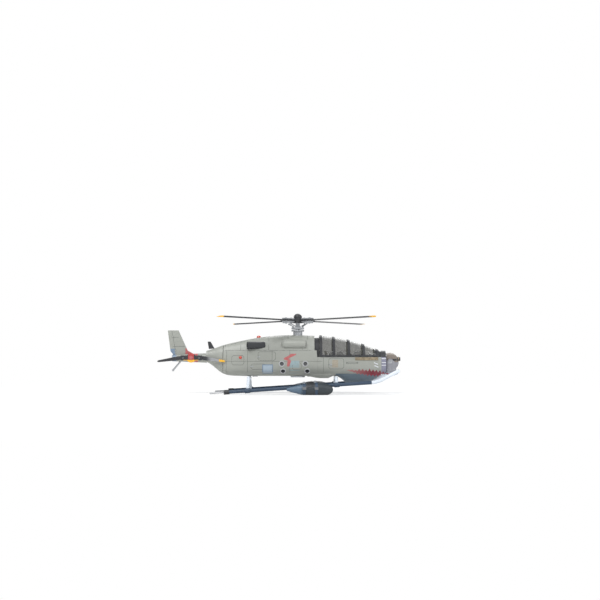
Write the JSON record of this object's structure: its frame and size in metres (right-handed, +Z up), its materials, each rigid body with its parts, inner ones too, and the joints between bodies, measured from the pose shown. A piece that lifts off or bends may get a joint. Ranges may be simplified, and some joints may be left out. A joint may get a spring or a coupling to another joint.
{
  "type": "helicopter scale model",
  "caption": "Small die-cast light helicopter model on long skids with float pods, a nose sensor turret, a turning main rotor and a turning tail rotor.",
  "frame": {"origin": "middle of the overall length and width, on the ground plane under the skids", "axes": "+X towards the nose, +Y towards the port side, +Z up"},
  "size_m": [0.11, 0.0676, 0.0365],
  "materials": {
    "body_paint": "satin",
    "slate_paint": "satin",
    "navy_plastic": "satin",
    "pod_plastic": "satin",
    "pale_trim": "satin",
    "white_trim": "satin",
    "lavender_plastic": "satin",
    "turret_plastic": "satin",
    "bronze_trim": "metallic",
    "smoked_plastic": "gloss",
    "black_plastic": "satin",
    "seat_plastic": "matte",
    "steel": "brushed",
    "lamp_plastic": "gloss"
  },
  "bodies": {
    "airframe": {"fuselage_left": "body_paint", "fuselage_right": "body_paint", "belly_tub": "slate_paint", "engine_cowling": "body_paint", "nose_collar": "lavender_plastic", "windscreen_surround": "black_plastic", "turret_bracket": "body_paint", "canopy_glass": "smoked_plastic", "canopy_frame": "black_plastic", "sill_strips": "bronze_trim", "cockpit_floor": "black_plastic", "crew_seats": "seat_plastic", "instrument_panels": "black_plastic", "control_sticks": "black_plastic", "firewall": "black_plastic", "main_frame": "steel", "assembly_screws": "steel", "stand_socket": "steel", "air_intake_left": "body_paint", "air_intake_right": "body_paint", "exhaust_left": "black_plastic", "exhaust_right": "black_plastic", "port_rims": "white_trim", "port_glasses": "smoked_plastic", "mast_bearing": "steel", "swashplate_fixed": "steel", "tail_boom": "body_paint", "tail_fin": "body_paint", "tailplane": "body_paint", "tail_gearbox": "steel", "tail_skid": "steel", "skid_left": "navy_plastic", "skid_right": "navy_plastic", "skid_toe_left": "pale_trim", "skid_toe_right": "pale_trim", "skid_heel_left": "pale_trim", "skid_heel_right": "pale_trim", "cross_tube_front": "pale_trim", "cross_tube_rear": "pale_trim", "skid_clamps_left": "navy_plastic", "skid_clamps_right": "navy_plastic", "float_pod_left": "pod_plastic", "float_pod_right": "pod_plastic", "pod_straps_left": "navy_plastic", "pod_straps_right": "navy_plastic", "antenna": "black_plastic", "nav_lights": "lamp_plastic"},
    "main_rotor": {"rotor_shaft": "steel", "swashplate_turning": "steel", "rotor_hub": "black_plastic", "blade_grips": "steel", "rotor_blades": "black_plastic", "pitch_links": "steel", "rotor_cap": "black_plastic"},
    "tail_rotor": {"tail_shaft": "steel", "tail_hub": "black_plastic", "tail_blades": "black_plastic"},
    "turret_yoke": {"turret_yoke": "lavender_plastic"},
    "turret_ball": {"turret_ball": "turret_plastic", "gun_barrel": "black_plastic"}
  },
  "joints": [
    {"name": "main_rotor_spin", "type": "hinge", "parent": "airframe", "child": "main_rotor", "pos_m": [0.00818, 0, 0.03], "axis": [0, 0, 1], "continuous": true},
    {"name": "tail_rotor_spin", "type": "hinge", "parent": "airframe", "child": "tail_rotor", "pos_m": [-0.0398, -0.005, 0.01618], "axis": [0, -1, 0], "continuous": true},
    {"name": "turret_yaw", "type": "hinge", "parent": "airframe", "child": "turret_yoke", "pos_m": [0.0501, 0, 0.0144], "axis": [0, 0, 1], "range_deg": [-90, 90]},
    {"name": "turret_pitch", "type": "hinge", "parent": "turret_yoke", "child": "turret_ball", "pos_m": [0.0501, 0, 0.0144], "axis": [0, 1, 0], "range_deg": [-15, 50]}
  ]
}
